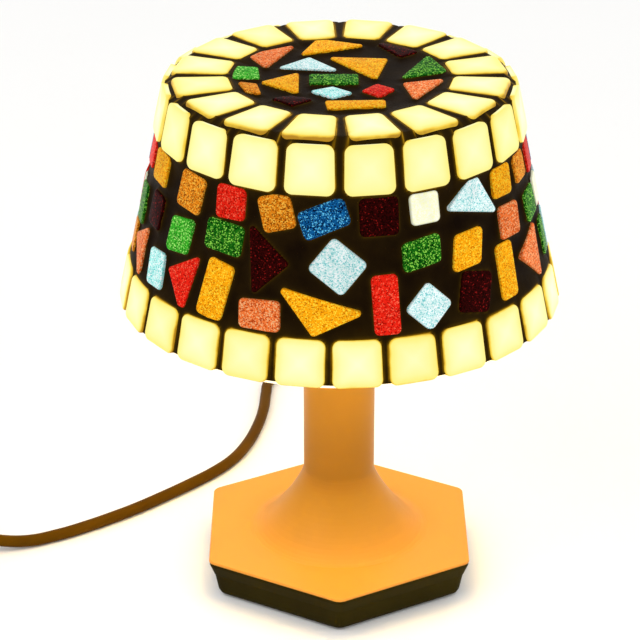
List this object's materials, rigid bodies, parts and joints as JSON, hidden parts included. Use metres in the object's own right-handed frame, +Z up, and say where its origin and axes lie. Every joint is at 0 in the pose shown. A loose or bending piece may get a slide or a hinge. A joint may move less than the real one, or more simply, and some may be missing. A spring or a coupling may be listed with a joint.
{
  "type": "mosaic glass table lamp",
  "caption": "Small table lamp with a hexagonal foot, flared stem, lift-off drum shade of bedded glass mosaic, screw-in bulb and mains lead with rocker switch.",
  "frame": {"origin": "centre of the pad that the lamp stands on, under the stem", "axes": "+Z up the stem; one corner of the hexagonal foot towards -Y, the lead leaves at the corner towards +Y"},
  "size_m": [0.4134, 0.2889, 0.2355],
  "materials": {
    "amber_plastic": "satin",
    "dark_plastic": "satin",
    "pad_rubber": "matt",
    "zinc_steel": "zinc plated",
    "ballast_iron": "cast",
    "lead_brown": "smooth flexible sheath",
    "white_plastic": "moulded",
    "wire_brown": "smooth",
    "wire_blue": "smooth",
    "steatite": "unglazed",
    "brass": "plain",
    "carrier_steel": "white lacquer",
    "milk_glass": "frosted",
    "mortar": "matt",
    "tile_pale": "opalescent",
    "bulb_white": "smooth",
    "bulb_black": "plain",
    "cap_nickel": "nickel plated",
    "board": "white solder mask",
    "led_yellow": "phosphor",
    "bulb_opal": "opal",
    "switch_brown": "moulded",
    "rocker_cream": "moulded",
    "tie_black": "plain",
    "glass_amber": "glitter glass",
    "glass_orange": "glitter glass",
    "glass_coral": "glitter glass",
    "glass_red": "glitter glass",
    "glass_maroon": "glitter glass",
    "glass_green": "glitter glass",
    "glass_leaf": "glitter glass",
    "glass_blue": "glitter glass",
    "glass_ice": "glitter glass",
    "glass_cyan": "glitter glass",
    "glass_cream": "glitter glass"
  },
  "bodies": {
    "base": {"stem_cover": "amber_plastic", "foot_tray": "dark_plastic", "floor_pad": "pad_rubber", "foot_screws": "zinc_steel", "ballast_plate": "ballast_iron", "ballast_screws": "zinc_steel", "cord_relief": "lead_brown", "cord_clamp": "white_plastic", "clamp_screws": "zinc_steel", "cord_inside": "lead_brown", "wire_live": "wire_brown", "wire_neutral": "wire_blue", "holder_body": "white_plastic", "holder_insert": "steatite", "holder_shell": "brass", "holder_contact": "brass", "holder_terminals": "brass", "holder_grub_screw": "zinc_steel", "carrier_hub": "carrier_steel", "carrier_arms": "carrier_steel", "carrier_ring": "carrier_steel", "ring_nut": "white_plastic", "switch_lower": "switch_brown", "switch_upper": "switch_brown", "switch_contacts": "brass", "switch_screws": "zinc_steel", "plug_body": "switch_brown", "plug_pins": "brass", "cord_lead": "lead_brown", "cord_tail": "lead_brown", "cord_coil": "lead_brown", "cord_end": "lead_brown", "coil_tie": "tie_black"},
    "shade": {"shade_glass": "milk_glass", "mortar_bed": "mortar", "crown_tiles": "tile_pale", "shoulder_tiles": "tile_pale", "rim_tiles": "tile_pale", "chips_amber": "glass_amber", "chips_orange": "glass_orange", "chips_coral": "glass_coral", "chips_red": "glass_red", "chips_maroon": "glass_maroon", "chips_green": "glass_green", "chips_leaf": "glass_leaf", "chips_blue": "glass_blue", "chips_ice": "glass_ice", "chips_cyan": "glass_cyan", "chips_cream": "glass_cream"},
    "bulb_lift": {"bulb_tip": "cap_nickel"},
    "bulb": {"bulb_insulator": "bulb_black", "bulb_cap": "cap_nickel", "bulb_housing": "bulb_white", "bulb_board": "board", "bulb_leds": "led_yellow", "bulb_globe": "bulb_opal"},
    "rocker": {"switch_rocker": "rocker_cream"}
  },
  "joints": [
    {"name": "shade_lift", "type": "slide", "parent": "base", "child": "shade", "axis": [0, 0, 1], "range_m": [0, 0.12]},
    {"name": "bulb_rise", "type": "slide", "parent": "base", "child": "bulb_lift", "axis": [0, 0, 1], "range_m": [0, 0.0071]},
    {"name": "bulb_turn", "type": "hinge", "parent": "bulb_lift", "child": "bulb", "pos_m": [0, 0, 0.15], "axis": [0, 0, 1], "range_deg": [0, 900]},
    {"name": "rocker_tilt", "type": "hinge", "parent": "base", "child": "rocker", "pos_m": [-0.2, 0.009, 0.0126], "axis": [0, 1, 0], "range_deg": [0, 18]}
  ],
  "couplings": [
    {"joint": "bulb_rise", "follows": "bulb_turn", "m_per_rad": 0.00044882}
  ]
}
